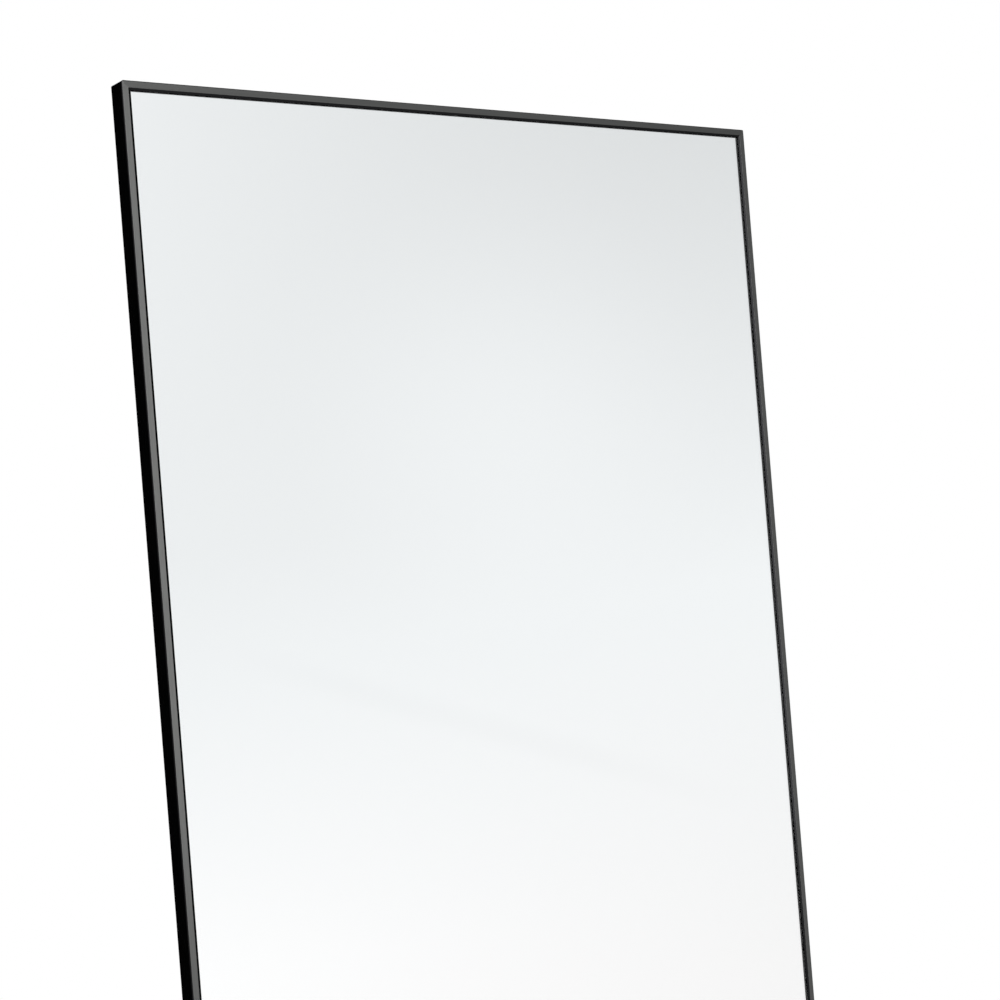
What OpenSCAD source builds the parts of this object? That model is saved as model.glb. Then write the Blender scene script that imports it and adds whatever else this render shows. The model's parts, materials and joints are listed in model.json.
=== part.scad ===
// Full-length mirror that leans back on a fold-out stand.
// Four mitred extrusions carry the glass, a foam sheet and a hardboard back, pressed
// forwards by leaf springs. A U-shaped tube swings on two stamped brackets behind the
// frame and stops against their folded lips, so the mirror stands by itself.

/* [Mirror] */
// Width over the frame
mirror_w = 560; // [420:5:760]
// Height of the frame, along its face
mirror_h = 1650; // [1300:10:1900]
// Lean of the face from upright, in degrees
lean = 8; // [6:0.5:10]

/* [Frame extrusion] */
// Width of the front face
face_w = 6.5; // [5.6:0.1:9]
// Thickness of the front lip, from its face to the glass
lip_t = 1.2; // [1:0.1:3]
// Width of the bevel along the lip's inner edge
bevel_w = 1.8; // [0.6:0.1:2.4]
// Drop of that bevel towards the glass
bevel_drop = 0.6; // [0.3:0.1:0.9]
// Radius on the front outer edge
edge_r = 0.8; // [0.2:0.1:1.1]
// Radius on the rear outer edge
back_r = 1.2; // [0.4:0.1:1.5]
// Radius on the frame's four outer corners
corner_r = 2; // [0.5:0.1:3]
// Outer wall thickness
wall_t = 1.2; // [1:0.1:2]
// Thickness of the web, inner wall and rear lips of the key channel
channel_t = 1; // [0.8:0.1:1.6]
// Width of the slot along the back
slot_w = 5; // [4.4:0.1:5.6]
// Joint line left between two mitred ends
mitre_gap = 0.1; // [0.05:0.05:0.3]

/* [Glass and back] */
// Glass thickness
glass_t = 2; // [2:0.5:6]
// Foam sheet thickness
foam_t = 4; // [0.5:0.5:5]
// Hardboard thickness
board_t = 3; // [2.5:0.5:5]
// Free space between the sheets' edges and the outer wall
edge_gap = 0.8; // [0.5:0.1:1.5]
// Space behind the board for the leaf springs
spring_space = 1.4; // [0.6:0.1:2]
// Thickness of a leaf spring
spring_t = 0.4; // [0.3:0.1:0.5]
// Width of a leaf spring
spring_w = 12; // [8:1:16]
// Largest distance from one leaf spring to the next
spring_pitch = 300; // [200:10:400]
// Distance from a corner to its nearest leaf spring
spring_end = 130; // [100:5:180]
// Length of a leaf spring from the key channel to where it touches the board
spring_run = 11; // [8:1:14]
// Length of its tail, past that point
spring_tail = 11; // [8:1:14]
// Lift of the tail's end off the board
spring_lift = 3; // [2:0.5:5]
// Space between a leaf spring and the outer wall
spring_tuck = 1; // [0.5:0.1:1.5]

/* [Corner keys] */
// Key thickness
key_t = 3; // [2.5:0.1:4]
// Key leg width
key_w = 8.4; // [7.6:0.1:10]
// Key leg length, from the frame's outer side
key_l = 46; // [40:1:60]
// Play beside a key leg
key_play = 0.2; // [0.1:0.05:0.4]
// Room in front of a key for its set screws to push it back
key_room = 0.4; // [0.2:0.1:0.6]

/* [Screws] */
// Diameter of the set screws and the bracket and hanger screws
screw_d = 4; // [3:0.5:4]
// Diameter of a pan head
head_d = 7.6; // [7:0.1:8]
// Height of a pan head
head_h = 2.2; // [1.8:0.1:2.6]
// Radius on a pan head's edge
head_r = 1; // [0.6:0.1:1.4]
// Length of the bars of the cross recess
recess_l = 4; // [3:0.1:4.6]
// Width of the bars of the cross recess
recess_w = 0.8; // [0.6:0.1:1.1]
// Depth of the cross recess
recess_depth = 1.2; // [0.8:0.1:1.4]
// Hexagon socket of a set screw, across its corners
set_hex = 2; // [1.6:0.1:2.4]
// Depth of that socket
set_hex_depth = 1.6; // [1:0.1:2]
// Clearance around a screw in a drilled hole, on the radius
screw_play = 0.2; // [0.1:0.05:0.3]
// Clearance around a screw in a tapped hole, on the radius
thread_play = 0.05; // [0.02:0.01:0.1]

/* [Stand] */
// Height of the hinge, along the frame from its lower edge
hinge_h = 800; // [700:10:900]
// Distance of the hinge axis behind the frame
hinge_back = 13; // [12:0.5:18]
// Angle from folded flat to open against the stop, in degrees
open_angle = 14; // [12:0.5:18]
// Tube diameter
tube_d = 12; // [10:1:14]
// Tube wall
tube_wall = 1.2; // [1:0.1:1.5]
// Radius of the two bends, at the tube's centre
bend_r = 50; // [35:1:80]
// Width of the flattened ends
eye_w = 18; // [15:0.5:18]
// Length of a flattened end below the hinge axis
eye_l = 26; // [26:1:34]
// Length over which the tube turns from flat to round
taper_l = 20; // [14:1:30]
// Diameter of the floor sleeves
sleeve_d = 17; // [15:0.5:20]
// Length of a floor sleeve
sleeve_l = 34; // [20:1:50]
// Distance from the end of a bend to its floor sleeve
sleeve_end = 12; // [5:1:30]
// Clearance between a sleeve and the tube, on the radius
sleeve_play = 0.05; // [0.02:0.01:0.1]
// Chamfer on a sleeve's ends
sleeve_chamfer = 1; // [0.5:0.1:1.5]

/* [Hinge] */
// Sheet thickness of the brackets
bracket_t = 2; // [1.5:0.5:2.5]
// Inner radius of the brackets' folds
fold_r = 1; // [0.5:0.5:1.5]
// Height of a bracket's base
base_l = 64; // [56:2:80]
// Distance between a bracket's two screws
base_screws = 42; // [36:1:48]
// Distance from the key channel to a bracket's ear
ear_gap = 1; // [0.5:0.1:2]
// Margin of the base from the frame's outer side
base_margin = 1.2; // [0.8:0.1:1.5]
// Radius of the ear around the hinge bolt
ear_r = 10; // [9:0.5:11]
// Length of the stop lip
stop_l = 13; // [10:1:16]
// Reach of the stop lip from the ear
stop_reach = 8; // [6:0.5:10]
// Distance from the hinge axis to the top of the stop lip, along the leg
stop_drop = 12; // [11:1:14]
// Space between the stop lip and the open leg
stop_gap = 0.2; // [0.1:0.1:0.4]
// Hinge bolt diameter
bolt_d = 5; // [4:0.5:6]
// Running clearance of the leg on the bolt, on the radius
bolt_run = 0.06; // [0.03:0.01:0.1]
// Bolt head diameter
bolt_head_d = 9.5; // [8.5:0.5:10]
// Bolt head height
bolt_head_h = 2.8; // [2:0.1:3]
// Hexagon socket of the bolt, across its corners
bolt_hex = 3.4; // [3:0.1:4]
// Depth of that socket
bolt_hex_depth = 1.6; // [1.2:0.1:1.8]
// Length of the bolt's thread past its lock nut
bolt_past = 0.6; // [0.2:0.1:2]
// Nylon washer diameter
washer_d = 11; // [9:0.5:12]
// Nylon washer thickness
washer_t = 0.8; // [0.5:0.1:1.2]
// Side play of the leg between its washers
side_play = 0.2; // [0.1:0.05:0.3]
// Lock nut width across flats
nut_flats = 8; // [7:0.5:9]
// Lock nut height without its collar
nut_h = 3.6; // [3:0.1:5]
// Height of the lock nut's nylon collar
collar_h = 1.4; // [1:0.1:2]
// Diameter of that collar
collar_d = 7; // [6.4:0.1:8]

/* [Wall hangers] */
// Free channel between a corner key and the slot nut of a hanger
hanger_gap = 17; // [8:1:60]
// Plate width
hanger_w = 34; // [30:1:44]
// Plate height
hanger_l = 40; // [36:1:50]
// Plate thickness
hanger_t = 2; // [1.5:0.5:3]
// Radius on a plate's corners
hanger_r = 3; // [1:0.5:5]
// Distance between a plate's two screws
hanger_screws = 20; // [16:1:22]
// Diameter of the keyhole's round end
keyhole_d = 9; // [8:0.5:10]
// Width of the keyhole's slot
keyhole_slot = 4.6; // [4:0.1:5.5]
// Distance from the round end's centre to the slot's end centre
keyhole_l = 9; // [8:0.5:11]
// Distance from the frame's upper edge to the round end's centre
keyhole_drop = 29; // [28:0.5:31]

/* [Feet and bumpers] */
// Length of a foot along the lower rail
foot_l = 42; // [30:1:60]
// Thickness of a foot at its back
foot_t = 2.5; // [2:0.1:5]
// Distance from a corner key to a foot, along the lower rail
foot_gap = 11; // [8:1:60]
// Margin of a foot from the front and back of the rail
foot_margin = 0.8; // [0.5:0.1:2]
// Diameter of a foot's stems
stem_d = 2.8; // [2:0.1:3]
// Length of a stem past the rail's wall
stem_l = 3; // [2:0.5:5]
// Distance from a foot's middle to each stem
stem_pitch = 13; // [8:1:14]
// Diameter of a wall bumper
bumper_d = 9; // [8:0.5:10]
// Height of a wall bumper
bumper_h = 3.5; // [2.5:0.5:5]
// Chamfer around a wall bumper's face
bumper_chamfer = 1; // [0.5:0.1:1.5]
// Reach of a wall bumper's stem into the key channel
bumper_stem = 1; // [0.5:0.1:2]
// Clearance of that stem in the slot, on the radius
bumper_play = 0.1; // [0.05:0.05:0.2]
// Distance from a corner key to a bumper, along the lower rail
bumper_gap = 9.5; // [7:0.5:10]

/* [Hidden] */
$fn = 48;

// How far a cutting shape runs past the surface that it cuts, and a joined one into its neighbour
past = 1;
join = 0.5;
// Thickness of the two thin slices between which a tube end is blended
skin = 0.1;

// Depths from the front face of the frame towards the back
glass_y = lip_t;
foam_y = glass_y + glass_t;
board_y = foam_y + foam_t;
board_back = board_y + board_t;
web_y = board_back + spring_space;
channel_y = web_y + channel_t;
key_y = channel_y + key_room;
rear_lip_y = key_y + key_t;
frame_d = rear_lip_y + channel_t;

// Distances from the frame's outer side inwards
key_s = wall_t + key_play;
channel_s = key_s + key_w + key_play;
channel_reach = channel_s + channel_t;
slot_s = (wall_t + channel_s) / 2;
ear_s = channel_reach + ear_gap;
ear_inner = ear_s + bracket_t;
eye_t = 2 * tube_wall;
eye_s = ear_inner + washer_t + side_play;
tube_s = eye_s + eye_t / 2;
nut_s = eye_s + eye_t + side_play + washer_t;
bolt_end = nut_s + nut_h + collar_h + bolt_past;

// Places along the rails, from the frame's side: clear of the corner keys by a named gap
hanger_at = key_l + hanger_gap + hanger_w / 2;
foot_at = key_l + foot_gap + foot_l / 2;
bumper_at = key_l + bumper_gap + bumper_d / 2;

// The mirror stands on the back edge of its feet's tops and on the floor sleeves
sole_back = frame_d - foot_margin;
rest_z = sole_back * sin(lean) + foot_t * cos(lean);
front_y = edge_r * (cos(lean) + sin(lean) - 1);
rear_y = frame_d * cos(lean) + mirror_h * sin(lean) - back_r * (cos(lean) + sin(lean) - 1);
shift_y = -(front_y + rear_y) / 2;
axis_y = frame_d + hinge_back;
hinge_y = shift_y + axis_y * cos(lean) + hinge_h * sin(lean);
hinge_z = rest_z - axis_y * sin(lean) + hinge_h * cos(lean);
splay = open_angle - lean;
stand_l = (hinge_z - sleeve_d / 2) / cos(splay);
leg_x = mirror_w / 2 - tube_s;
stop_y = eye_w / 2 + stop_gap;

ink = "#1c1c1d";
steel = "#b9bcc0";

// Frame of the leaning mirror: X across, Y from the front face backwards, Z up along it
module leaning() {
    translate([0, shift_y, rest_z]) rotate([-lean, 0, 0]) children();
}

// A member's own frame: X inwards from the outer side, Y backwards, Z along the member
module on_side(right) {
    mirror([right ? 1 : 0, 0, 0]) translate([-mirror_w / 2, 0, 0]) children();
}

module on_end(top) {
    translate([0, 0, top ? mirror_h : 0])
        mirror([0, 0, top ? 1 : 0])
            translate([mirror_w / 2, 0, 0])
                rotate([0, -90, 0])
                    children();
}

module at_corner(right, top) {
    on_side(right) translate([0, 0, top ? mirror_h : 0]) mirror([0, 0, top ? 1 : 0]) children();
}

// Frame of the open stand: X across from the middle, Z up along the legs from the hinge axis
module open_stand() {
    translate([0, hinge_y, hinge_z]) rotate([splay, 0, 0]) children();
}

// Positions spread evenly between the two ends of a member, no further apart than the pitch
function spread(length) =
    let (run = length - 2 * spring_end, steps = max(1, ceil(run / spring_pitch)))
    [for (i = [0:steps]) spring_end + run * i / steps];

// Solid along Y from a flat outline in X and Z
module standing_plate(y, depth) {
    translate([0, y + depth, 0]) rotate([90, 0, 0]) linear_extrude(height = depth) children();
}

// Solid along X from a flat outline in Y and Z
module side_plate(x, thickness) {
    translate([x, 0, 0]) rotate([90, 0, 90]) linear_extrude(height = thickness) children();
}

// Rectangle with all four corners rounded
module rounded_box_2d(low, high, r) {
    translate([low[0] + r, low[1]]) square([high[0] - low[0] - 2 * r, high[1] - low[1]]);
    translate([low[0], low[1] + r]) square([high[0] - low[0], high[1] - low[1] - 2 * r]);
    for (x = [low[0] + r, high[0] - r])
        for (y = [low[1] + r, high[1] - r])
            translate([x, y]) circle(r = r);
}

// Bent sheet in section: its outer corner at the origin, one leg along X and one along Y
module bent_sheet_2d(leg_a, leg_b, thickness, inner_r) {
    outer_r = thickness + inner_r;
    translate([outer_r, 0]) square([leg_a - outer_r, thickness]);
    translate([0, outer_r]) square([thickness, leg_b - outer_r]);
    intersection() {
        square(outer_r);
        translate([outer_r, outer_r]) difference() {
            circle(r = outer_r);
            circle(r = inner_r);
        }
    }
}

// What rounding a square corner at the origin takes away
module round_off_2d(r) {
    difference() {
        translate([-past, -past]) square(r + past);
        translate([r, r]) circle(r = r);
    }
}

// Section of the frame extrusion: front lip, outer wall, and the rear channel with its slot
module frame_section() {
    difference() {
        polygon([
            [0, 0], [face_w - bevel_w, 0], [face_w, bevel_drop], [face_w, lip_t],
            [wall_t, lip_t], [wall_t, web_y], [channel_reach, web_y], [channel_reach, frame_d],
            [slot_s + slot_w / 2, frame_d], [slot_s + slot_w / 2, rear_lip_y],
            [channel_s, rear_lip_y], [channel_s, channel_y], [wall_t, channel_y],
            [wall_t, rear_lip_y], [slot_s - slot_w / 2, rear_lip_y],
            [slot_s - slot_w / 2, frame_d], [0, frame_d]
        ]);
        round_off_2d(edge_r);
        translate([0, frame_d]) mirror([0, 1]) round_off_2d(back_r);
    }
}

// One member with both ends mitred, rounded where they make the frame's corners
module member(length) {
    reach = channel_reach + past;
    cut = mitre_gap / 2;
    intersection() {
        linear_extrude(height = length) frame_section();
        standing_plate(-past, frame_d + 2 * past) difference() {
            polygon([
                [-past, cut - past], [reach, reach + cut],
                [reach, length - reach - cut], [-past, length - cut + past]
            ]);
            round_off_2d(corner_r);
            translate([0, length]) mirror([0, 1]) round_off_2d(corner_r);
        }
    }
}

module top_rail() {
    color(ink) leaning() on_end(true) member(mirror_w);
}

module bottom_rail() {
    color(ink) leaning() difference() {
        on_end(false) member(mirror_w);
        foot_stems(wall_t + past, thread_play);
    }
}

module stile(right) {
    color(ink) leaning() on_side(right) member(mirror_h);
}

// L-shaped plate that slides into two members' channels, tapped for a set screw in each leg
function key_screw_at() = key_l - key_w;

module key_screw_holes(r) {
    for (at = [[slot_s, key_screw_at()], [key_screw_at(), slot_s]])
        translate([at[0], key_y - past, at[1]]) rotate([-90, 0, 0]) cylinder(r = r, h = key_t + 2 * past);
}

module corner_key(right, top) {
    inner = key_s + key_w;
    color(steel) leaning() at_corner(right, top) difference() {
        standing_plate(key_y, key_t)
            polygon([
                [key_s, key_s], [key_l, key_s], [key_l, inner],
                [inner, inner], [inner, key_l], [key_s, key_l]
            ]);
        key_screw_holes(screw_d / 2 + thread_play);
    }
}

// Set screw: its tip pushes on the web and its hexagon socket faces back through the slot
module set_screw() {
    length = key_room + key_t + channel_t / 2;
    rotate([-90, 0, 0]) difference() {
        cylinder(d = screw_d, h = length);
        translate([0, 0, length - set_hex_depth]) cylinder(d = set_hex, h = set_hex_depth + past, $fn = 6);
    }
}

module corner_set_screws() {
    color("#8a8d91") leaning()
        for (right = [false, true])
            for (top = [false, true])
                at_corner(right, top)
                    for (at = [[slot_s, key_screw_at()], [key_screw_at(), slot_s]])
                        translate([at[0], channel_y, at[1]]) set_screw();
}

// Glass, foam and board are cut to one size and lie on each other behind the front lip
module sheet(y, thickness) {
    inset = wall_t + edge_gap;
    translate([-mirror_w / 2 + inset, y, inset])
        cube([mirror_w - 2 * inset, thickness, mirror_h - 2 * inset]);
}

module mirror_glass() {
    color("#dfe6e8") leaning() sheet(glass_y, glass_t);
}

module foam_sheet() {
    color("white") leaning() sheet(foam_y, foam_t);
}

module back_board() {
    color("#7a5a3c") leaning() sheet(board_y, board_t);
}

// Leaf spring in section: tucked under the web, bowed onto the board, tail turned up
tuck_s = wall_t + spring_tuck;
touch_s = channel_reach + spring_run;
tail_s = touch_s + spring_tail;

function leaf_y(s) =
    let (under = web_y - spring_t, touch = board_back)
    s <= channel_reach ? under :
    s <= touch_s ?
        touch + (under - touch) * (1 + cos(180 * (s - channel_reach) / spring_run)) / 2 :
        touch + spring_lift * pow((s - touch_s) / spring_tail, 2);

module leaf_spring() {
    bowed = [for (i = [0:12]) channel_reach + (tail_s - channel_reach) * i / 12];
    stations = concat([tuck_s], bowed);
    last = len(stations) - 1;
    linear_extrude(height = spring_w, center = true)
        polygon(concat(
            [for (i = [0:last]) [stations[i], leaf_y(stations[i])]],
            [for (i = [last:-1:0]) [stations[i], leaf_y(stations[i]) + spring_t]]
        ));
}

module board_springs() {
    color(steel) leaning() {
        for (right = [false, true])
            on_side(right) for (z = spread(mirror_h)) translate([0, 0, z]) leaf_spring();
        for (top = [false, true])
            on_end(top) for (z = spread(mirror_w)) translate([0, 0, z]) leaf_spring();
    }
}

// Stems of both feet, standing in the lower rail's wall in front of its rear lip
module foot_stems(length, play) {
    for (side = [-1, 1])
        for (step = [-1, 1])
            translate([side * (mirror_w / 2 - foot_at) + step * stem_pitch, (key_y + rear_lip_y) / 2, -join])
                cylinder(d = stem_d + 2 * play, h = length + join);
}

// Rubber foot: a wedge whose sole lies flat on the floor while the mirror leans
module foot(side) {
    sole_v = function (y) y * tan(lean) - rest_z / cos(lean);
    middle = side * (mirror_w / 2 - foot_at);
    color("#151515") leaning() {
        side_plate(middle - foot_l / 2, foot_l)
            polygon([
                [foot_margin, 0], [foot_margin, sole_v(foot_margin)],
                [sole_back, sole_v(sole_back)], [sole_back, 0]
            ]);
        intersection() {
            foot_stems(wall_t + stem_l, 0);
            translate([middle - foot_l / 2, 0, -past]) cube([foot_l, frame_d, wall_t + stem_l + 2 * past]);
        }
    }
}

// Rubber bumpers pushed into the slot of the lower rail
module wall_bumpers() {
    color("#151515") leaning() on_end(false)
        for (z = [bumper_at, mirror_w - bumper_at])
            translate([slot_s, frame_d, z]) rotate([-90, 0, 0]) {
                cylinder(d = bumper_d, h = bumper_h - bumper_chamfer);
                translate([0, 0, bumper_h - bumper_chamfer])
                    cylinder(d1 = bumper_d, d2 = bumper_d - 2 * bumper_chamfer, h = bumper_chamfer);
                translate([0, 0, -channel_t - bumper_stem])
                    cylinder(r = slot_w / 2 - bumper_play, h = channel_t + bumper_stem + join);
            }
}

// Nut plate that slides along a key channel, tapped for two screws
module slot_nut(length, pitch) {
    difference() {
        translate([key_s, key_y, -length / 2]) cube([key_w, key_t, length]);
        for (z = [-pitch / 2, pitch / 2])
            translate([slot_s, key_y - past, z]) rotate([-90, 0, 0])
                cylinder(r = screw_d / 2 + thread_play, h = key_t + 2 * past);
    }
}

// Half outline of a pan head: flat on top, with its edge rounded off
module pan_head_2d() {
    square([head_d / 2 - head_r, head_h]);
    square([head_d / 2, head_h - head_r]);
    translate([head_d / 2 - head_r, head_h - head_r]) circle(r = head_r);
}

// Pan head screw through a plate of the given thickness into a slot nut
module pan_screw(plate_t) {
    shank = frame_d + plate_t - key_y;
    rotate([-90, 0, 0]) difference() {
        union() {
            cylinder(d = screw_d, h = shank + join);
            translate([0, 0, shank]) rotate_extrude() pan_head_2d();
        }
        translate([0, 0, shank + head_h - recess_depth])
            for (turn = [0, 90])
                rotate([0, 0, turn]) translate([-recess_l / 2, -recess_w / 2, 0])
                    cube([recess_l, recess_w, recess_depth + past]);
    }
}

// Keyhole hanger: a plate on the upper rail whose keyhole lies over the gap behind the board
module at_hanger(right) {
    on_end(true) translate([0, 0, right ? hanger_at : mirror_w - hanger_at]) children();
}

module hanger(right) {
    tip = keyhole_drop - keyhole_l;
    color(steel) leaning() at_hanger(right) standing_plate(frame_d, hanger_t) difference() {
        rounded_box_2d([base_margin, -hanger_w / 2], [hanger_l, hanger_w / 2], hanger_r);
        translate([keyhole_drop, 0]) circle(d = keyhole_d);
        translate([tip, 0]) circle(d = keyhole_slot);
        translate([tip, -keyhole_slot / 2]) square([keyhole_l, keyhole_slot]);
        for (z = [-hanger_screws / 2, hanger_screws / 2])
            translate([slot_s, z]) circle(r = screw_d / 2 + screw_play);
    }
}

module hanger_slot_nuts() {
    color(steel) leaning() for (right = [false, true])
        at_hanger(right) slot_nut(hanger_w, hanger_screws);
}

module hanger_screw_set() {
    color("#8a8d91") leaning() for (right = [false, true])
        at_hanger(right)
            for (z = [-hanger_screws / 2, hanger_screws / 2])
                translate([slot_s, key_y, z]) pan_screw(hanger_t);
}

// Frame of a hinge: X inwards from the mirror's side, Y backwards, Z up from the hinge height
module at_hinge(right) {
    on_side(right) translate([0, 0, hinge_h]) children();
}

// Turn from the mirror's own direction to that of the open leg, about the hinge axis
module along_open_leg() {
    translate([0, axis_y, 0]) rotate([open_angle, 0, 0]) children();
}

// Stamped bracket: base on the stile, ear with the bolt hole, and a stop lip behind the leg
module hinge_bracket(right) {
    outer_r = bracket_t + fold_r;
    color(ink) leaning() at_hinge(right) difference() {
        union() {
            translate([ear_inner, frame_d, -base_l / 2]) mirror([1, 0, 0]) linear_extrude(height = base_l)
                bent_sheet_2d(ear_inner - base_margin, outer_r + join, bracket_t, fold_r);
            side_plate(ear_s, bracket_t) {
                translate([frame_d + outer_r, -ear_r]) square([hinge_back - outer_r, 2 * ear_r]);
                translate([axis_y, 0]) circle(r = ear_r);
                translate([axis_y, 0]) rotate(open_angle)
                    translate([-ear_r, -stop_drop - stop_l])
                        square([ear_r + stop_y - fold_r, stop_drop + stop_l]);
            }
            along_open_leg() translate([ear_s, stop_y + bracket_t, -stop_drop - stop_l])
                mirror([0, 1, 0]) linear_extrude(height = stop_l)
                    bent_sheet_2d(bracket_t + stop_reach, outer_r + join, bracket_t, fold_r);
        }
        translate([ear_s - past, axis_y, 0]) rotate([0, 90, 0])
            cylinder(r = bolt_d / 2 + thread_play, h = bracket_t + 2 * past);
        for (z = [-base_screws / 2, base_screws / 2])
            translate([slot_s, frame_d - past, z]) rotate([-90, 0, 0])
                cylinder(r = screw_d / 2 + screw_play, h = bracket_t + 2 * past);
    }
}

module hinge_slot_nut(right) {
    color(steel) leaning() at_hinge(right) slot_nut(base_l, base_screws);
}

module bracket_screws() {
    color("#8a8d91") leaning() for (right = [false, true])
        at_hinge(right)
            for (z = [-base_screws / 2, base_screws / 2])
                translate([slot_s, key_y, z]) pan_screw(bracket_t);
}

// Half outline of a button head, domed away from its flat face on the X axis
module button_head_2d() {
    dome_r = (pow(bolt_head_d / 2, 2) + pow(bolt_head_h, 2)) / (2 * bolt_head_h);
    intersection() {
        square([bolt_head_d / 2, bolt_head_h]);
        translate([0, bolt_head_h - dome_r]) circle(r = dome_r);
    }
}

// Hinge bolt: button head outside the ear, plain shank through the leg, end past the nut
module hinge_bolt(right) {
    color("#8a8d91") leaning() at_hinge(right) translate([ear_s, axis_y, 0]) rotate([0, 90, 0]) difference() {
        union() {
            translate([0, 0, -join]) cylinder(d = bolt_d, h = bolt_end - ear_s + join);
            mirror([0, 0, 1]) rotate_extrude() button_head_2d();
        }
        translate([0, 0, -bolt_head_h - past]) cylinder(d = bolt_hex, h = bolt_hex_depth + past, $fn = 6);
    }
}

module washer_at(s) {
    translate([s, axis_y, 0]) rotate([0, 90, 0]) difference() {
        cylinder(d = washer_d, h = washer_t);
        translate([0, 0, -past]) cylinder(r = bolt_d / 2 + thread_play, h = washer_t + 2 * past);
    }
}

module hinge_washers() {
    color("#e8e6df") leaning() for (right = [false, true])
        at_hinge(right) {
            washer_at(ear_inner);
            washer_at(nut_s - washer_t);
        }
}

module hinge_lock_nuts() {
    across = nut_flats / cos(30);
    color(steel) leaning() for (right = [false, true])
        at_hinge(right) translate([nut_s, axis_y, 0]) rotate([0, 90, 0]) difference() {
            union() {
                cylinder(d = across, h = nut_h, $fn = 6);
                cylinder(d = collar_d, h = nut_h + collar_h);
            }
            translate([0, 0, -past])
                cylinder(r = bolt_d / 2 + thread_play, h = nut_h + collar_h + 2 * past);
        }
}

// Inside or outside of the tube below the flattened ends, by radius
module tube_run(r) {
    straight = stand_l - bend_r - eye_l - taper_l;
    for (side = [-1, 1]) {
        translate([side * leg_x, 0, -stand_l + bend_r]) cylinder(r = r, h = straight);
        translate([side * (leg_x - bend_r), 0, -stand_l + bend_r]) mirror([side < 0 ? 1 : 0, 0, 0])
            rotate([-90, 0, 0]) rotate_extrude(angle = 90) translate([bend_r, 0]) circle(r = r);
    }
    translate([-leg_x + bend_r, 0, -stand_l]) rotate([0, 90, 0])
        cylinder(r = r, h = 2 * (leg_x - bend_r));
}

// Tube end pressed flat, rounded off around the bolt hole and blended into the round tube
module flattened_end() {
    side_plate(-eye_t / 2, eye_t) {
        circle(d = eye_w);
        translate([-eye_w / 2, -eye_l]) square([eye_w, eye_l]);
    }
    hull() {
        translate([-eye_t / 2, -eye_w / 2, -eye_l]) cube([eye_t, eye_w, skin]);
        translate([0, 0, -eye_l - taper_l]) cylinder(d = tube_d, h = skin, $fn = 32);
    }
}

module stand_tube() {
    color(ink) open_stand() difference() {
        union() {
            tube_run(tube_d / 2);
            for (side = [-1, 1]) translate([side * leg_x, 0, 0]) flattened_end();
        }
        tube_run(tube_d / 2 - tube_wall);
        translate([-mirror_w / 2, 0, 0]) rotate([0, 90, 0])
            cylinder(r = bolt_d / 2 + bolt_run, h = mirror_w);
    }
}

// Rubber sleeve on the cross tube, with chamfered ends
module floor_sleeve(side) {
    inner = tube_d / 2 + sleeve_play;
    outer = sleeve_d / 2;
    at = side * (leg_x - bend_r - sleeve_end - sleeve_l / 2);
    color("#151515") open_stand() translate([at - sleeve_l / 2, 0, -stand_l]) rotate([0, 90, 0])
        rotate_extrude()
            polygon([
                [inner, 0], [outer - sleeve_chamfer, 0], [outer, sleeve_chamfer],
                [outer, sleeve_l - sleeve_chamfer], [outer - sleeve_chamfer, sleeve_l], [inner, sleeve_l]
            ]);
}

top_rail();
bottom_rail();
stile(false);  // left_stile
stile(true);  // right_stile
corner_key(false, true);  // top_left_corner_key
corner_key(true, true);  // top_right_corner_key
corner_key(false, false);  // bottom_left_corner_key
corner_key(true, false);  // bottom_right_corner_key
corner_set_screws();
mirror_glass();
foam_sheet();
back_board();
board_springs();
foot(-1);  // left_foot
foot(1);  // right_foot
wall_bumpers();
hanger(false);  // left_hanger
hanger(true);  // right_hanger
hanger_slot_nuts();
hanger_screw_set();  // hanger_screws
hinge_bracket(false);  // left_hinge_bracket
hinge_bracket(true);  // right_hinge_bracket
hinge_slot_nut(false);  // left_slot_nut
hinge_slot_nut(true);  // right_slot_nut
bracket_screws();
hinge_bolt(false);  // left_hinge_bolt
hinge_bolt(true);  // right_hinge_bolt
hinge_washers();
hinge_lock_nuts();
stand_tube();
floor_sleeve(-1);  // left_floor_sleeve
floor_sleeve(1);  // right_floor_sleeve
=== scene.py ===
# Full-length mirror on its fold-out stand: finishes, silvering, studio and camera
import json
import math

import bmesh
import bpy
from mathutils import Matrix, Vector


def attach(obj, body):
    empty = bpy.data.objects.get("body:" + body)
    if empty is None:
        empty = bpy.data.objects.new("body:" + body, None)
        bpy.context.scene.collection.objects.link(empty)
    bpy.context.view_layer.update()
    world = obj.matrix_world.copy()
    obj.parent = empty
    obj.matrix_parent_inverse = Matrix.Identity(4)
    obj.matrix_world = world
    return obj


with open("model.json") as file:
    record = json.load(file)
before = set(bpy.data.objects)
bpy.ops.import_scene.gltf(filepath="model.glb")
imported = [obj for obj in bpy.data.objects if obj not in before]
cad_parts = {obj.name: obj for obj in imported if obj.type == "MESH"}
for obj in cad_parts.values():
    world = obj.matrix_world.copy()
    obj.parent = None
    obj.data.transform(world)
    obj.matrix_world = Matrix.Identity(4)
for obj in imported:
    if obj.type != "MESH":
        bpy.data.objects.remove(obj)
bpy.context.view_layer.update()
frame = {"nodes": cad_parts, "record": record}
scene = bpy.context.scene
MM = 0.001

# The wall keyholes are bored straight through the back, so their axis is the way that it faces
mounts = {mount["name"]: mount for mount in frame["record"]["mounts"]}
BACKWARDS = Vector(mounts["left_wall_keyhole"]["axis"]).normalized()
ACROSS = Vector((1, 0, 0))
UPWARDS = ACROSS.cross(BACKWARDS)
LEAN = math.asin(-BACKWARDS.z)


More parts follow.
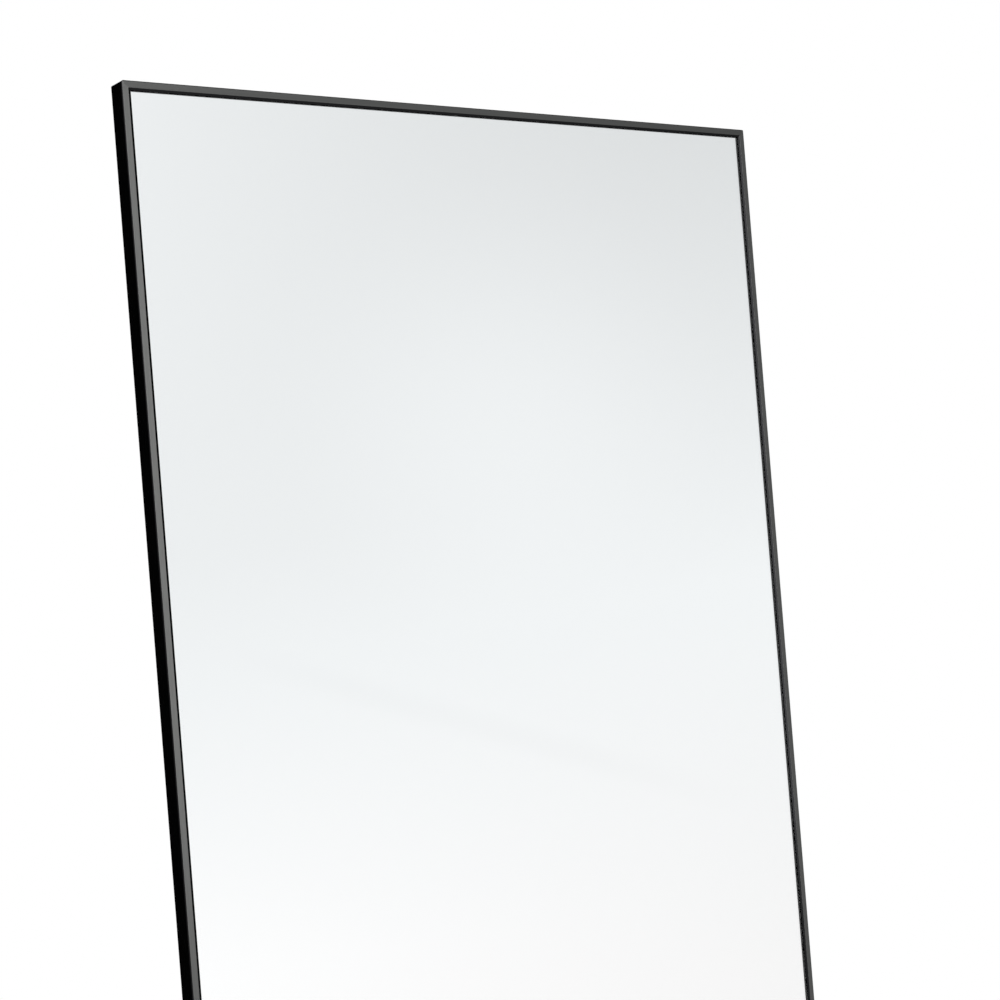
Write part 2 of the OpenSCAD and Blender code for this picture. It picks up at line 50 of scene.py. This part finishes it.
def linear(hex_colour):
    """sRGB hex colour as linear red, green, blue and alpha"""
    channels = [int(hex_colour[i:i + 2], 16) / 255 for i in (1, 3, 5)]
    curve = [c / 12.92 if c <= 0.04045 else ((c + 0.055) / 1.055) ** 2.4 for c in channels]
    return (*curve, 1.0)


def feed(tree, node, inputs):
    """Gives a node's inputs, by name or number, a value each or a link from another node's output"""
    for name, value in inputs.items():
        named = [socket for socket in node.inputs if socket.name == name and socket.enabled]
        socket = node.inputs[name] if isinstance(name, int) else named[0]
        if isinstance(value, bpy.types.NodeSocket):
            tree.links.new(value, socket)
        else:
            socket.default_value = value


def add(tree, kind, inputs, output=None, **settings):
    """Adds a node with its settings and links, and returns the output of that name or its main one"""
    node = tree.nodes.new(kind)
    for name, value in settings.items():
        setattr(node, name, value)
    feed(tree, node, inputs)
    return next(socket for socket in node.outputs if socket.enabled and output in (None, socket.name))


def new_material(name, inputs):
    """A material, its nodes and its shader, with what is the same all over set on the shader"""
    material = bpy.data.materials.new(name)
    material.use_nodes = True
    shader = material.node_tree.nodes["Principled BSDF"]
    feed(material.node_tree, shader, inputs)
    return material, material.node_tree, shader


def cells(tree, across, through=None, up=None):
    """Object coordinates that lie along the leaning mirror and pass 1 in each of these distances, or
    every way in the first of them. A texture that reads them keeps a scale of 1"""
    place = add(tree, "ShaderNodeTexCoord", {}, "Object")
    along = add(tree, "ShaderNodeMapping", {"Vector": place, "Rotation": (LEAN, 0, 0)})
    scale = (1 / across, 1 / (through or across), 1 / (up or across))
    return add(tree, "ShaderNodeMapping", {"Vector": along, "Scale": scale})


# In the values of the finishes, A and B are the two ends that a pattern mixes between

# Black anodised aluminium. The front faces are brushed along their length before anodising: a satin
# dark grey whose fine lines spread light across them. All other faces are smoother and are drawn near
# black, with a grey specular tint that leaves them little reflection at a slant. This is partly their
# extruded finish and partly painted shade, which draws the dark line along the glass and the dark outer sides
FRONT = min(point.co.dot(BACKWARDS) for point in frame["nodes"]["left_stile"].data.vertices)
BRUSHED_TO = FRONT + 0.01 * MM
BLACK_FROM = FRONT + 0.06 * MM
BRUSH_LINE = 0.4 * MM
BRUSH_LENGTH = 70 * MM
BRUSH_DEPTH = 0.01 * MM
BRUSHED_GREY = {"A": linear("#50504f"), "B": linear("#60605f")}
BRUSHED_ROUGHNESS = {"A": 0.27, "B": 0.41}
DYE_CLOUD = 45 * MM
# Near black of the bevels, sides and back: partly the extruded finish, partly painted shade along the glass
# and on the outer sides
EXTRUDED_BLACK_AND_PAINTED_SHADE = {"A": linear("#19191a"), "B": linear("#222223")}
EXTRUDED_ROUGHNESS = {"A": 0.19, "B": 0.25}
# Specular tint: white on the brushed front, grey on all other faces as painted shade that keeps them near
# black at a slant
PAINTED_SHADE_TINT = {"A": linear("#ffffff"), "B": linear("#808080")}


def black_anodised_aluminium(name, upright):
    material, tree, shader = new_material(name, {"Metallic": 1.0, "Anisotropic": 0.6})
    place = add(tree, "ShaderNodeTexCoord", {}, "Object")
    depth = add(tree, "ShaderNodeVectorMath", {0: place, 1: BACKWARDS}, operation="DOT_PRODUCT")
    # Mask of every face behind the brushed front: the bevels, sides and back, which get the painted shade
    black = add(tree, "ShaderNodeMapRange", {"Value": depth, "From Min": BRUSHED_TO, "From Max": BLACK_FROM})
    grain = (BRUSH_LINE, BRUSH_LINE, BRUSH_LENGTH) if upright else (BRUSH_LENGTH, BRUSH_LINE, BRUSH_LINE)
    lines = add(tree, "ShaderNodeTexNoise", {"Vector": cells(tree, *grain), "Scale": 1.0, "Detail": 3.0})
    cloud = add(tree, "ShaderNodeTexNoise", {"Vector": cells(tree, DYE_CLOUD), "Scale": 1.0, "Detail": 3.0})
    brushed = add(tree, "ShaderNodeMix", {"Factor": lines, **BRUSHED_GREY}, data_type="RGBA")
    # Near-black colour of those faces, part finish and part painted shade
    extruded_and_shade = add(tree, "ShaderNodeMix", {"Factor": cloud, **EXTRUDED_BLACK_AND_PAINTED_SHADE}, data_type="RGBA")
    colour = add(tree, "ShaderNodeMix", {"Factor": black, "A": brushed, "B": extruded_and_shade}, data_type="RGBA")
    # Painted shade: the grey tint takes most of the slanting reflection off the bevels and sides
    slanting = add(tree, "ShaderNodeMix", {"Factor": black, **PAINTED_SHADE_TINT}, data_type="RGBA")
    brushed_skin = add(tree, "ShaderNodeMix", {"Factor": lines, **BRUSHED_ROUGHNESS})
    extruded_skin = add(tree, "ShaderNodeMix", {"Factor": cloud, **EXTRUDED_ROUGHNESS})
    roughness = add(tree, "ShaderNodeMix", {"Factor": black, "A": brushed_skin, "B": extruded_skin})
    relief = add(tree, "ShaderNodeBump", {"Height": lines, "Distance": BRUSH_DEPTH, "Strength": 0.4})
    facing = add(tree, "ShaderNodeNewGeometry", {}, "Normal")
    lengthways = UPWARDS if upright else ACROSS
    sideways = add(tree, "ShaderNodeVectorMath", {0: facing, 1: lengthways}, operation="CROSS_PRODUCT")
    feed(tree, shader, {"Base Color": colour, "Specular Tint": slanting, "Roughness": roughness,
                        "Normal": relief, "Tangent": sideways})
    return material


# Black powder coat on steel: a dull even skin over softened edges, with an orange-peel ripple that
# is drawn a little coarser than real
PEEL = 1.4 * MM
PEEL_DEPTH = 0.05 * MM
COAT_CLOUD = 45 * MM
COATED_EDGE = 0.3 * MM
COAT_BLACK = {"A": linear("#18181a"), "B": linear("#242425")}
COAT_ROUGHNESS = {"A": 0.4, "B": 0.54}


def powder_coated_steel():
    material, tree, shader = new_material("powder_coated_steel", {})
    peel = add(tree, "ShaderNodeTexNoise", {"Vector": cells(tree, PEEL), "Scale": 1.0, "Detail": 1.0})
    cloud = add(tree, "ShaderNodeTexNoise", {"Vector": cells(tree, COAT_CLOUD), "Scale": 1.0, "Detail": 2.0})
    colour = add(tree, "ShaderNodeMix", {"Factor": cloud, **COAT_BLACK}, data_type="RGBA")
    roughness = add(tree, "ShaderNodeMix", {"Factor": peel, **COAT_ROUGHNESS})
    edges = add(tree, "ShaderNodeBevel", {"Radius": COATED_EDGE})
    relief = add(tree, "ShaderNodeBump", {"Height": peel, "Distance": PEEL_DEPTH, "Strength": 0.6,
                                          "Normal": edges})
    feed(tree, shader, {"Base Color": colour, "Roughness": roughness, "Normal": relief})
    return material


# Zinc-plated steel, stamped or turned: pale grey metal with faint rolling lines and a cloudy
# blue-to-straw bloom from the clear passivation
BLOOM = 14 * MM
ROLLING_LINE = 0.5 * MM
ROLLING_LENGTH = 16 * MM
ROLLING_DEPTH = 0.01 * MM
ROLLED_ROUGHNESS = {"A": 0.26, "B": 0.46}
STAMPED_EDGE = 0.15 * MM
PLATED_STEEL = {"A": linear("#9aa0a8"), "B": linear("#b6b2a6")}
PLATED_SCREW = {"A": linear("#7c8087"), "B": linear("#989488")}


def zinc_plated_steel(name, blue_to_straw):
    material, tree, shader = new_material(name, {"Metallic": 1.0})
    rolling = cells(tree, ROLLING_LENGTH, ROLLING_LINE, ROLLING_LINE)
    rolled = add(tree, "ShaderNodeTexNoise", {"Vector": rolling, "Scale": 1.0, "Detail": 2.0})
    bloom = add(tree, "ShaderNodeTexNoise", {"Vector": cells(tree, BLOOM), "Scale": 1.0, "Detail": 3.0})
    colour = add(tree, "ShaderNodeMix", {"Factor": bloom, **blue_to_straw}, data_type="RGBA")
    roughness = add(tree, "ShaderNodeMix", {"Factor": rolled, **ROLLED_ROUGHNESS})
    edges = add(tree, "ShaderNodeBevel", {"Radius": STAMPED_EDGE})
    relief = add(tree, "ShaderNodeBump", {"Height": rolled, "Distance": ROLLING_DEPTH, "Strength": 0.3,
                                          "Normal": edges})
    feed(tree, shader, {"Base Color": colour, "Roughness": roughness, "Normal": relief})
    return material


# Blued spring steel: hard thin strip with a smooth skin, tempered to a mottled blue and brown
TEMPER_CLOUD = 6 * MM
TEMPER_COLOURS = {"A": linear("#626b7c"), "B": linear("#8c8272")}
TEMPER_ROUGHNESS = {"A": 0.3, "B": 0.42}


def blued_spring_steel():
    material, tree, shader = new_material("blued_spring_steel", {"Metallic": 1.0})
    temper = add(tree, "ShaderNodeTexNoise", {"Vector": cells(tree, TEMPER_CLOUD), "Scale": 1.0,
                                              "Detail": 3.0})
    colour = add(tree, "ShaderNodeMix", {"Factor": temper, **TEMPER_COLOURS}, data_type="RGBA")
    roughness = add(tree, "ShaderNodeMix", {"Factor": temper, **TEMPER_ROUGHNESS})
    feed(tree, shader, {"Base Color": colour, "Roughness": roughness})
    return material


# Float glass: clear, flat and polished, without any pattern of its own
def float_glass():
    return new_material("float_glass", {"Base Color": linear("#ffffff"), "Roughness": 0.0, "IOR": 1.52,
                                        "Transmission Weight": 1.0})[0]


# Silver deposited on the glass: a whole mirror without any colour of its own
def deposited_silver():
    return new_material("deposited_silver", {"Base Color": linear("#fefefe"), "Roughness": 0.0,
                                             "Metallic": 1.0})[0]


# Polyethylene foam, blown into sheet: white and dull, made of closed cells
FOAM_CELL = 1.3 * MM
FOAM_CELL_DEPTH = 0.2 * MM
FOAM_WHITE = {"A": linear("#dcdcd9"), "B": linear("#f2f2f0")}


def blown_polyethylene_foam():
    material, tree, shader = new_material("blown_polyethylene_foam", {"Roughness": 0.8})
    cell = add(tree, "ShaderNodeTexVoronoi", {"Vector": cells(tree, FOAM_CELL), "Scale": 1.0})
    colour = add(tree, "ShaderNodeMix", {"Factor": cell, **FOAM_WHITE}, data_type="RGBA")
    relief = add(tree, "ShaderNodeBump", {"Height": cell, "Distance": FOAM_CELL_DEPTH})
    feed(tree, shader, {"Base Color": colour, "Normal": relief})
    return material


# Hardboard, hot-pressed from brown wood fibre: matted flecks and clouds, over the weave that the
# pressing screen leaves on its back. The weave is drawn twice as coarse as real so that it shows
SCREEN_PITCH = 4 * MM
SCREEN_TO_FIBRE = 0.35
FIBRE = 5 * MM
FIBRE_CLOUD = 110 * MM
CLOUD_SHARE = 0.3
PATCHES = {"From Min": 0.35, "From Max": 0.65}
BOARD_DEPTH = 0.2 * MM
BOARD_BROWN = {"A": linear("#7d5d41"), "B": linear("#997553")}
BOARD_ROUGHNESS = {"A": 0.6, "B": 0.85}


def pressed_hardboard():
    material, tree, shader = new_material("pressed_hardboard", {})
    fibre = add(tree, "ShaderNodeTexNoise", {"Vector": cells(tree, FIBRE), "Scale": 1.0, "Detail": 6.0,
                                             "Roughness": 0.7, "Distortion": 0.3})
    cloud = add(tree, "ShaderNodeTexNoise", {"Vector": cells(tree, FIBRE_CLOUD), "Scale": 1.0, "Detail": 4.0})
    weave = cells(tree, SCREEN_PITCH / math.tau)
    across = add(tree, "ShaderNodeSeparateXYZ", {0: weave}, "X")
    up = add(tree, "ShaderNodeSeparateXYZ", {0: weave}, "Z")
    warp = add(tree, "ShaderNodeMath", {0: across}, operation="SINE")
    weft = add(tree, "ShaderNodeMath", {0: up}, operation="SINE")
    screen = add(tree, "ShaderNodeMath", {0: warp, 1: weft}, operation="MULTIPLY")
    mottle = add(tree, "ShaderNodeMix", {"Factor": CLOUD_SHARE, "A": fibre, "B": cloud})
    patchy = add(tree, "ShaderNodeMapRange", {"Value": mottle, **PATCHES})
    colour = add(tree, "ShaderNodeMix", {"Factor": patchy, **BOARD_BROWN}, data_type="RGBA")
    roughness = add(tree, "ShaderNodeMix", {"Factor": fibre, **BOARD_ROUGHNESS})
    height = add(tree, "ShaderNodeMath", {0: screen, 1: SCREEN_TO_FIBRE, 2: fibre}, operation="MULTIPLY_ADD")
    relief = add(tree, "ShaderNodeBump", {"Height": height, "Distance": BOARD_DEPTH, "Strength": 0.8})
    feed(tree, shader, {"Base Color": colour, "Roughness": roughness, "Normal": relief})
    return material


# Moulded rubber: dull black with a faint grey bloom and a fine sparked grain
RUBBER_GRAIN = 0.6 * MM
RUBBER_GRAIN_DEPTH = 0.04 * MM
RUBBER_BLOOM = 6 * MM
RUBBER_EDGE = 0.4 * MM
RUBBER_BLACK = {"A": linear("#141414"), "B": linear("#272726")}
RUBBER_ROUGHNESS = {"A": 0.58, "B": 0.78}


def moulded_rubber():
    material, tree, shader = new_material("moulded_rubber", {})
    grain = add(tree, "ShaderNodeTexNoise", {"Vector": cells(tree, RUBBER_GRAIN), "Scale": 1.0,
                                             "Detail": 2.0})
    bloom = add(tree, "ShaderNodeTexNoise", {"Vector": cells(tree, RUBBER_BLOOM), "Scale": 1.0,
                                             "Detail": 4.0})
    colour = add(tree, "ShaderNodeMix", {"Factor": bloom, **RUBBER_BLACK}, data_type="RGBA")
    roughness = add(tree, "ShaderNodeMix", {"Factor": bloom, **RUBBER_ROUGHNESS})
    edges = add(tree, "ShaderNodeBevel", {"Radius": RUBBER_EDGE})
    relief = add(tree, "ShaderNodeBump", {"Height": grain, "Distance": RUBBER_GRAIN_DEPTH, "Strength": 0.6,
                                          "Normal": edges})
    feed(tree, shader, {"Base Color": colour, "Roughness": roughness, "Normal": relief})
    return material


# Moulded natural nylon: milky, with a soft sheen and light that goes a little way in
MILK_CLOUD = 2 * MM
LIGHT_REACH = 0.8 * MM
NYLON_WHITE = {"A": linear("#d8d3c4"), "B": linear("#ebe8de")}
NYLON_ROUGHNESS = {"A": 0.36, "B": 0.48}


def moulded_nylon():
    material, tree, shader = new_material("moulded_nylon", {"Subsurface Weight": 0.2,
                                                            "Subsurface Scale": LIGHT_REACH})
    milk = add(tree, "ShaderNodeTexNoise", {"Vector": cells(tree, MILK_CLOUD), "Scale": 1.0, "Detail": 2.0})
    colour = add(tree, "ShaderNodeMix", {"Factor": milk, **NYLON_WHITE}, data_type="RGBA")
    roughness = add(tree, "ShaderNodeMix", {"Factor": milk, **NYLON_ROUGHNESS})
    feed(tree, shader, {"Base Color": colour, "Roughness": roughness})
    return material


# Each material slot of the record has its finish; the rails and stiles differ in their brushing
slot_finishes = {
    "stand_black": powder_coated_steel(),
    "zinc_steel": zinc_plated_steel("zinc_plated_steel", PLATED_STEEL),
    "screw_steel": zinc_plated_steel("zinc_plated_screw_steel", PLATED_SCREW),
    "spring_steel": blued_spring_steel(),
    "mirror_glass": float_glass(),
    "foam": blown_polyethylene_foam(),
    "hardboard": pressed_hardboard(),
    "black_rubber": moulded_rubber(),
    "nylon": moulded_nylon(),
}
brushed_rail = black_anodised_aluminium("black_anodised_rail", upright=False)
brushed_stile = black_anodised_aluminium("black_anodised_stile", upright=True)
frame_finishes = {
    "top_rail": brushed_rail,
    "bottom_rail": brushed_rail,
    "left_stile": brushed_stile,
    "right_stile": brushed_stile,
}

for subpart in frame["record"]["subparts"]:
    name = subpart["node"]
    slot = subpart["material_slot"]
    materials = frame["nodes"][name].data.materials
    materials.clear()
    materials.append(frame_finishes[name] if name in frame_finishes else slot_finishes[slot])


def mesh_object(name, mesh, material):
    """Object at the origin with this bmesh as its mesh"""
    data = bpy.data.meshes.new(name)
    mesh.to_mesh(data)
    mesh.free()
    data.materials.append(material)
    piece = bpy.data.objects.new(name, data)
    scene.collection.objects.link(piece)
    return piece


# The silver with its backing paint, on the rear of the glass: drawn as a thin plate just inside its
# rear face, and as wide and high as the pane
SAME_POINT = 0.01 * MM
REARWARD_COSINE = 0.9
COAT_SINK = 0.05 * MM
COAT_THICKNESS = 0.03 * MM
SORTING_SLANT = Vector((1, 2, 3))


def silver_coat():
    mesh = bmesh.new()
    mesh.from_mesh(frame["nodes"]["mirror_glass"].data)
    bmesh.ops.remove_doubles(mesh, verts=mesh.verts, dist=SAME_POINT)
    mesh.normal_update()
    not_rear = [face for face in mesh.faces if face.normal.dot(BACKWARDS) < REARWARD_COSINE]
    bmesh.ops.delete(mesh, geom=not_rear, context="FACES")
    bmesh.ops.dissolve_faces(mesh, faces=mesh.faces)
    bmesh.ops.translate(mesh, verts=mesh.verts, vec=-BACKWARDS * COAT_SINK)
    grown = bmesh.ops.extrude_face_region(mesh, geom=mesh.faces)["geom"]
    front = [part for part in grown if isinstance(part, bmesh.types.BMVert)]
    bmesh.ops.translate(mesh, verts=front, vec=-BACKWARDS * COAT_THICKNESS)
    bmesh.ops.recalc_face_normals(mesh, faces=mesh.faces)
    # Extruding lists the side faces in an order of its own each run, so they are put in a fixed one
    mesh.faces.sort(key=lambda face: face.calc_center_median().dot(SORTING_SLANT))
    coat = mesh_object("silver_coat", mesh, deposited_silver())
    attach(coat, "mirror")


silver_coat()


def ray_from_metal_or_glass(tree):
    """1 for what metal shows or glass lets through, 0 for the rest"""
    glossy = add(tree, "ShaderNodeLightPath", {}, "Is Glossy Ray")
    through = add(tree, "ShaderNodeLightPath", {}, "Is Transmission Ray")
    return add(tree, "ShaderNodeMath", {0: glossy, 1: through}, operation="MAXIMUM")


# Studio: white surround, pale floor that keeps the shadow, a black flag and soft lamps. Metal and
# glass see the surround as walls that darken a little upwards, most on the right, under a darker
# ceiling. Heights and distances in it are parts of a direction's length, and brightness 1 is white
SURROUND_FILL = 0.55
LEFT_WALL = {"From Min": -0.1, "From Max": 0.12, "To Min": 1.01, "To Max": 0.88}
RIGHT_WALL = {"From Min": 0.06, "From Max": 0.36, "To Min": 0.93, "To Max": 0.7}
LEFT_TO_RIGHT = {"From Min": 0.42, "From Max": 0.68}
CEILING_SHADE = {"From Min": 0.4, "From Max": 1.0, "To Max": 0.4}
COOL_HEIGHT = {"From Min": -0.14, "From Max": 0.05}
WHITE_TO_COOL = {"A": linear("#ffffff"), "B": linear("#fbfeff")}

# A lighter patch of wall, and a short faint crease in it that shows as a slanting line in the glass
PATCH_MIDDLE = Vector((0.594, -0.785, 0.175))
PATCH_GLOW = {"From Max": 0.14, "To Min": 0.045, "To Max": 0.0}
CREASE_NORMAL = Vector((0.346, 0.245, 0.906))
CREASE_SHADE = {"From Max": 0.012, "To Min": 0.018, "To Max": 0.0}
CREASE_MIDDLE = 0.565
CREASE_ENDS = {"From Min": 0.05, "From Max": 0.11, "To Min": 1.0, "To Max": 0.0}


def studio_world():
    world = bpy.data.worlds.new("studio")
    scene.world = world
    world.use_nodes = True
    tree = world.node_tree
    shiny = ray_from_metal_or_glass(tree)
    direction = add(tree, "ShaderNodeTexCoord", {}, "Generated")
    rightwards = add(tree, "ShaderNodeSeparateXYZ", {0: direction}, "X")
    height = add(tree, "ShaderNodeSeparateXYZ", {0: direction}, "Z")
    left = add(tree, "ShaderNodeMapRange", {"Value": height, **LEFT_WALL})
    right = add(tree, "ShaderNodeMapRange", {"Value": height, **RIGHT_WALL})
    aside = add(tree, "ShaderNodeMapRange", {"Value": rightwards, **LEFT_TO_RIGHT})
    wall = add(tree, "ShaderNodeMix", {"Factor": aside, "A": left, "B": right})
    ceiling = add(tree, "ShaderNodeMapRange", {"Value": height, **CEILING_SHADE})
    wall = add(tree, "ShaderNodeMath", {0: wall, 1: ceiling}, operation="SUBTRACT")
    off_patch = add(tree, "ShaderNodeVectorMath", {0: direction, 1: PATCH_MIDDLE}, "Value",
                    operation="DISTANCE")
    patch = add(tree, "ShaderNodeMapRange", {"Value": off_patch, **PATCH_GLOW},
                interpolation_type="SMOOTHSTEP")
    wall = add(tree, "ShaderNodeMath", {0: wall, 1: patch}, operation="ADD")
    off_crease = add(tree, "ShaderNodeVectorMath", {0: direction, 1: CREASE_NORMAL}, operation="DOT_PRODUCT")
    off_crease = add(tree, "ShaderNodeMath", {0: off_crease}, operation="ABSOLUTE")
    crease = add(tree, "ShaderNodeMapRange", {"Value": off_crease, **CREASE_SHADE},
                 interpolation_type="SMOOTHSTEP")
    off_middle = add(tree, "ShaderNodeMath", {0: rightwards, 1: CREASE_MIDDLE}, operation="SUBTRACT")
    off_middle = add(tree, "ShaderNodeMath", {0: off_middle}, operation="ABSOLUTE")
    end = add(tree, "ShaderNodeMapRange", {"Value": off_middle, **CREASE_ENDS})
    crease = add(tree, "ShaderNodeMath", {0: crease, 1: end}, operation="MULTIPLY")
    wall = add(tree, "ShaderNodeMath", {0: wall, 1: crease}, operation="SUBTRACT")
    lit = add(tree, "ShaderNodeMix", {"Factor": shiny, "A": SURROUND_FILL, "B": wall})
    camera_ray = add(tree, "ShaderNodeLightPath", {}, "Is Camera Ray")
    shown = add(tree, "ShaderNodeMath", {0: lit, 1: camera_ray}, operation="MAXIMUM")
    cool = add(tree, "ShaderNodeMapRange", {"Value": height, **COOL_HEIGHT})
    cool = add(tree, "ShaderNodeMath", {0: cool, 1: shiny}, operation="MULTIPLY")
    colour = add(tree, "ShaderNodeMix", {"Factor": cool, **WHITE_TO_COOL}, data_type="RGBA")
    feed(tree, tree.nodes["Background"], {"Color": colour, "Strength": shown})


# The floor fades into the surround, so that neither the camera nor the glass shows where it ends.
# Camera, metal and glass see it lifted a little towards white
FLOOR_RADIUS = 2.3
FLOOR_FADES_FROM = 0.9
FLOOR_LIFT = 0.25
FLOOR_GAP = 0.3 * MM


def studio_floor():
    mesh = bmesh.new()
    bmesh.ops.create_circle(mesh, cap_ends=True, segments=96, radius=FLOOR_RADIUS,
                            matrix=Matrix.Translation((0, 0, -FLOOR_GAP)))
    material, tree, shader = new_material("matt_white_floor", {
        "Base Color": linear("#f3f3f1"), "Roughness": 0.9, "Specular IOR Level": 0.0})
    camera_ray = add(tree, "ShaderNodeLightPath", {}, "Is Camera Ray")
    seen = add(tree, "ShaderNodeMath", {0: ray_from_metal_or_glass(tree), 1: camera_ray},
               operation="MAXIMUM")
    place = add(tree, "ShaderNodeTexCoord", {}, "Object")
    distance = add(tree, "ShaderNodeVectorMath", {0: place}, operation="LENGTH")
    fade = add(tree, "ShaderNodeMapRange", {"Value": distance, "From Min": FLOOR_FADES_FROM,
                                            "From Max": FLOOR_RADIUS}, interpolation_type="SMOOTHSTEP")
    lifted = add(tree, "ShaderNodeMath", {0: seen, 1: FLOOR_LIFT}, operation="MULTIPLY")
    glow = add(tree, "ShaderNodeEmission", {"Color": linear("#ffffff"), "Strength": 1.0})
    surface = add(tree, "ShaderNodeMixShader", {0: lifted, 1: shader.outputs[0], 2: glow})
    open_air = add(tree, "ShaderNodeBsdfTransparent", {})
    surface = add(tree, "ShaderNodeMixShader", {0: fade, 1: surface, 2: open_air})
    feed(tree, tree.nodes["Material Output"], {"Surface": surface})
    mesh_object("floor", mesh, material)


# An upright black board on the right, seen by brushed metal and not by glass
FLAG_RIGHT = 2.4
FLAG_FRONT = -1.6
FLAG_REAR = 0.6
FLAG_HEIGHT = 3.0


def black_flag():
    mesh = bmesh.new()
    outline = [(FLAG_RIGHT, FLAG_FRONT, 0), (FLAG_RIGHT, FLAG_REAR, 0),
               (FLAG_RIGHT, FLAG_REAR, FLAG_HEIGHT), (FLAG_RIGHT, FLAG_FRONT, FLAG_HEIGHT)]
    bmesh.ops.contextual_create(mesh, geom=[mesh.verts.new(corner) for corner in outline])
    material, tree, shader = new_material("black_velvet", {
        "Base Color": linear("#000000"), "Roughness": 1.0, "Specular IOR Level": 0.0})
    from_glass = add(tree, "ShaderNodeLightPath", {}, "Is Singular Ray")
    nothing = add(tree, "ShaderNodeBsdfTransparent", {})
    surface = add(tree, "ShaderNodeMixShader", {0: from_glass, 1: shader.outputs[0], 2: nothing})
    feed(tree, tree.nodes["Material Output"], {"Surface": surface})
    flag = mesh_object("right_flag", mesh, material)
    flag.visible_camera = False
    flag.visible_diffuse = False
    flag.visible_shadow = False


# The glass is left out of the lamps' light, so that it shows the plain surround and not the lamps
not_lit = bpy.data.collections.new("not_lit_by_lamps")
not_lit.objects.link(frame["nodes"]["mirror_glass"])
not_lit.collection_objects[0].light_linking.link_state = "EXCLUDE"


def softbox(name, place, target, width, height, level):
    """Rectangular lamp whose face is as bright as level times white"""
    lamp = bpy.data.lights.new(name, "AREA")
    lamp.shape = "RECTANGLE"
    lamp.size = width
    lamp.size_y = height
    lamp.energy = level * math.pi * width * height
    box = bpy.data.objects.new(name, lamp)
    box.location = place
    box.rotation_euler = (Vector(target) - Vector(place)).to_track_quat("-Z", "Y").to_euler()
    box.visible_transmission = False
    box.light_linking.receiver_collection = not_lit
    scene.collection.objects.link(box)


MIDDLE = (0, 0, 0.9)
UPPER_PART = (0, 0, 1.5)

studio_world()
studio_floor()
black_flag()
softbox("key_softbox", place=(-2.2, -2.6, 2.6), target=MIDDLE, width=1.6, height=1.8, level=4.0)
softbox("strip_softbox", place=(0.55, -3.3, 2.1), target=UPPER_PART, width=0.5, height=2.5, level=7.6)
softbox("back_softbox", place=(1.6, 2.8, 2.6), target=MIDDLE, width=1.6, height=1.8, level=4.0)

# Camera: found from the frame's corners and edges in the photograph, for a picture of 1000 x 1000
FILM_WIDTH = 36.0
FOCAL_LENGTH = 66.7
CAMERA_PLACE = (-0.810, -1.041, 1.488)
CAMERA_TURN = math.radians(-36.18)
CAMERA_DIP = math.radians(5.83)
CAMERA_ROLL = math.radians(0.12)

camera_data = bpy.data.cameras.new("camera")
camera_data.sensor_width = FILM_WIDTH
camera_data.lens = FOCAL_LENGTH
camera = bpy.data.objects.new("camera", camera_data)
turn = Matrix.Rotation(CAMERA_TURN, 4, "Z") @ Matrix.Rotation(math.pi / 2 - CAMERA_DIP, 4, "X")
camera.rotation_euler = (turn @ Matrix.Rotation(CAMERA_ROLL, 4, "Z")).to_euler()
camera.location = CAMERA_PLACE
scene.collection.objects.link(camera)
scene.camera = camera

scene.view_settings.view_transform = "Standard"
